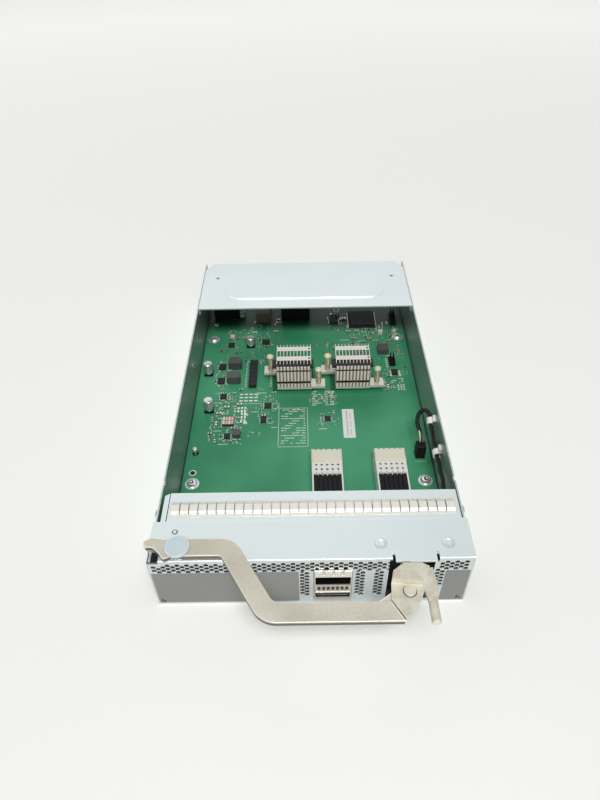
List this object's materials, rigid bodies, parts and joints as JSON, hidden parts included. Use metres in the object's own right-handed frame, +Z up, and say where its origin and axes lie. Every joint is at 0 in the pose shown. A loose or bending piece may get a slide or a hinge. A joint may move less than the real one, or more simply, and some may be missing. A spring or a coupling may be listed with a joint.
{
  "type": "switch line card",
  "caption": "Shallow metal tray holding a circuit board with finned heat sinks, stacked front ports, and a swinging front ejector handle with a sprung latch.",
  "frame": {"origin": "middle of the tray floor's underside", "axes": "+Y from the front panel to the rear connectors, along the way the card slides in; +X to the right seen from the front; +Z up"},
  "size_m": [0.1629, 0.3074, 0.0472],
  "materials": {
    "zinc_sheet": "bright zinc-plated sheet steel",
    "spring_fingers": "tin-plated spring strip",
    "handle_metal": "satin nickel plating",
    "fastener": "zinc-plated steel",
    "black_plastic": "moulded black plastic",
    "circuit_board": "green solder mask on glass laminate",
    "sink_metal": "plated folded fins",
    "pin_plastic": "pale yellow nylon",
    "white_plastic": "off-white moulded plastic",
    "tan_plastic": "tan moulded plastic",
    "can_metal": "bare aluminium can",
    "cable_sleeve": "black sleeve"
  },
  "bodies": {
    "card": {"base_tray": "zinc_sheet", "big_chip": "black_plastic", "block_capacitors": "black_plastic", "board_screws": "fastener", "board_standoffs": "fastener", "bracket_rivets": "fastener", "cable": "cable_sleeve", "cable_clip_front": "white_plastic", "cable_clip_rear": "white_plastic", "cable_plug": "black_plastic", "cage_springs": "spring_fingers", "capacitor_front": "can_metal", "capacitor_middle": "can_metal", "capacitor_rear": "can_metal", "chip_package_left": "black_plastic", "chip_package_right": "black_plastic", "circuit_board": "circuit_board", "coils": "black_plastic", "data_connector": "black_plastic", "framed_connector": "tan_plastic", "front_panel": "zinc_sheet", "handle_pivot_rivet": "fastener", "heatsink_left": "sink_metal", "heatsink_right": "sink_metal", "keeper_bracket": "zinc_sheet", "left_gasket": "spring_fingers", "microswitch": "black_plastic", "pin_header_rear": "black_plastic", "pin_header_right": "black_plastic", "port_cage": "zinc_sheet", "port_insert": "zinc_sheet", "port_receptacles": "black_plastic", "power_connector": "black_plastic", "power_inductor_front": "black_plastic", "power_inductor_rear": "black_plastic", "push_pin_1": "pin_plastic", "push_pin_2": "pin_plastic", "push_pin_3": "pin_plastic", "push_pin_4": "pin_plastic", "push_pin_spring_1": "fastener", "push_pin_spring_2": "fastener", "push_pin_spring_3": "fastener", "push_pin_spring_4": "fastener", "rear_cover": "zinc_sheet", "rear_cover_screws": "fastener", "right_gasket": "spring_fingers", "signal_connector_left": "white_plastic", "signal_connector_right": "white_plastic", "signal_wafers_left": "black_plastic", "signal_wafers_right": "black_plastic", "small_chips": "black_plastic", "support_post": "white_plastic", "top_gasket": "spring_fingers"},
    "handle": {"handle_bar": "handle_metal", "latch_rivet": "handle_metal", "latch_spring": "fastener"},
    "latch": {"latch_lever": "handle_metal"}
  },
  "joints": [
    {"name": "handle_swing", "type": "hinge", "parent": "card", "child": "handle", "pos_m": [-0.0647, -0.1307, 0.0421], "axis": [0, 0, -1], "range_deg": [0, 75]},
    {"name": "latch_trigger", "type": "hinge", "parent": "handle", "child": "latch", "pos_m": [0.0448, -0.1557, 0.0431], "axis": [0, 0, 1], "range_deg": [0, 8], "stiffness_Nm_per_rad": 0.3, "springref_deg": -8.59}
  ]
}
